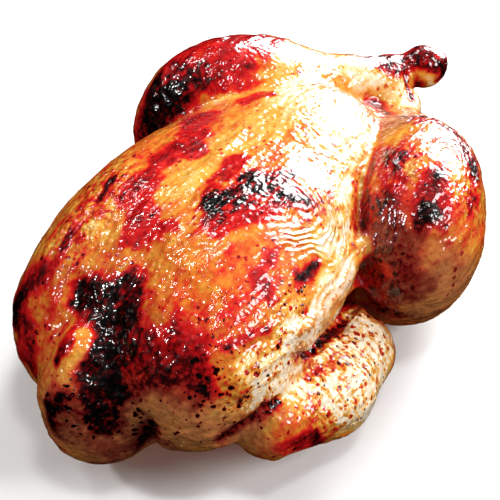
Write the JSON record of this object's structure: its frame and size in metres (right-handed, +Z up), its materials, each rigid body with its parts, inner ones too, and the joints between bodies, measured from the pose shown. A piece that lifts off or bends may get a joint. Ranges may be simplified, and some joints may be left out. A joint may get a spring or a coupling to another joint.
{
  "type": "roast chicken",
  "caption": "Whole roast chicken on its back, breast up, with crossed drumsticks, folded wings and glossy browned skin charred in patches.",
  "frame": {"origin": "on the surface the bird rests on, under the middle of its bounding box", "axes": "+X towards the tail and the crossed ankles, +Y towards the bird's left leg, +Z up through the breast"},
  "size_m": [0.258, 0.16, 0.0943],
  "materials": {
    "roast_skin": "wet gloss, browned unevenly from cream to mahogany, with black char patches"
  },
  "bodies": {
    "root": {"roast_chicken": "roast_skin"}
  },
  "joints": []
}
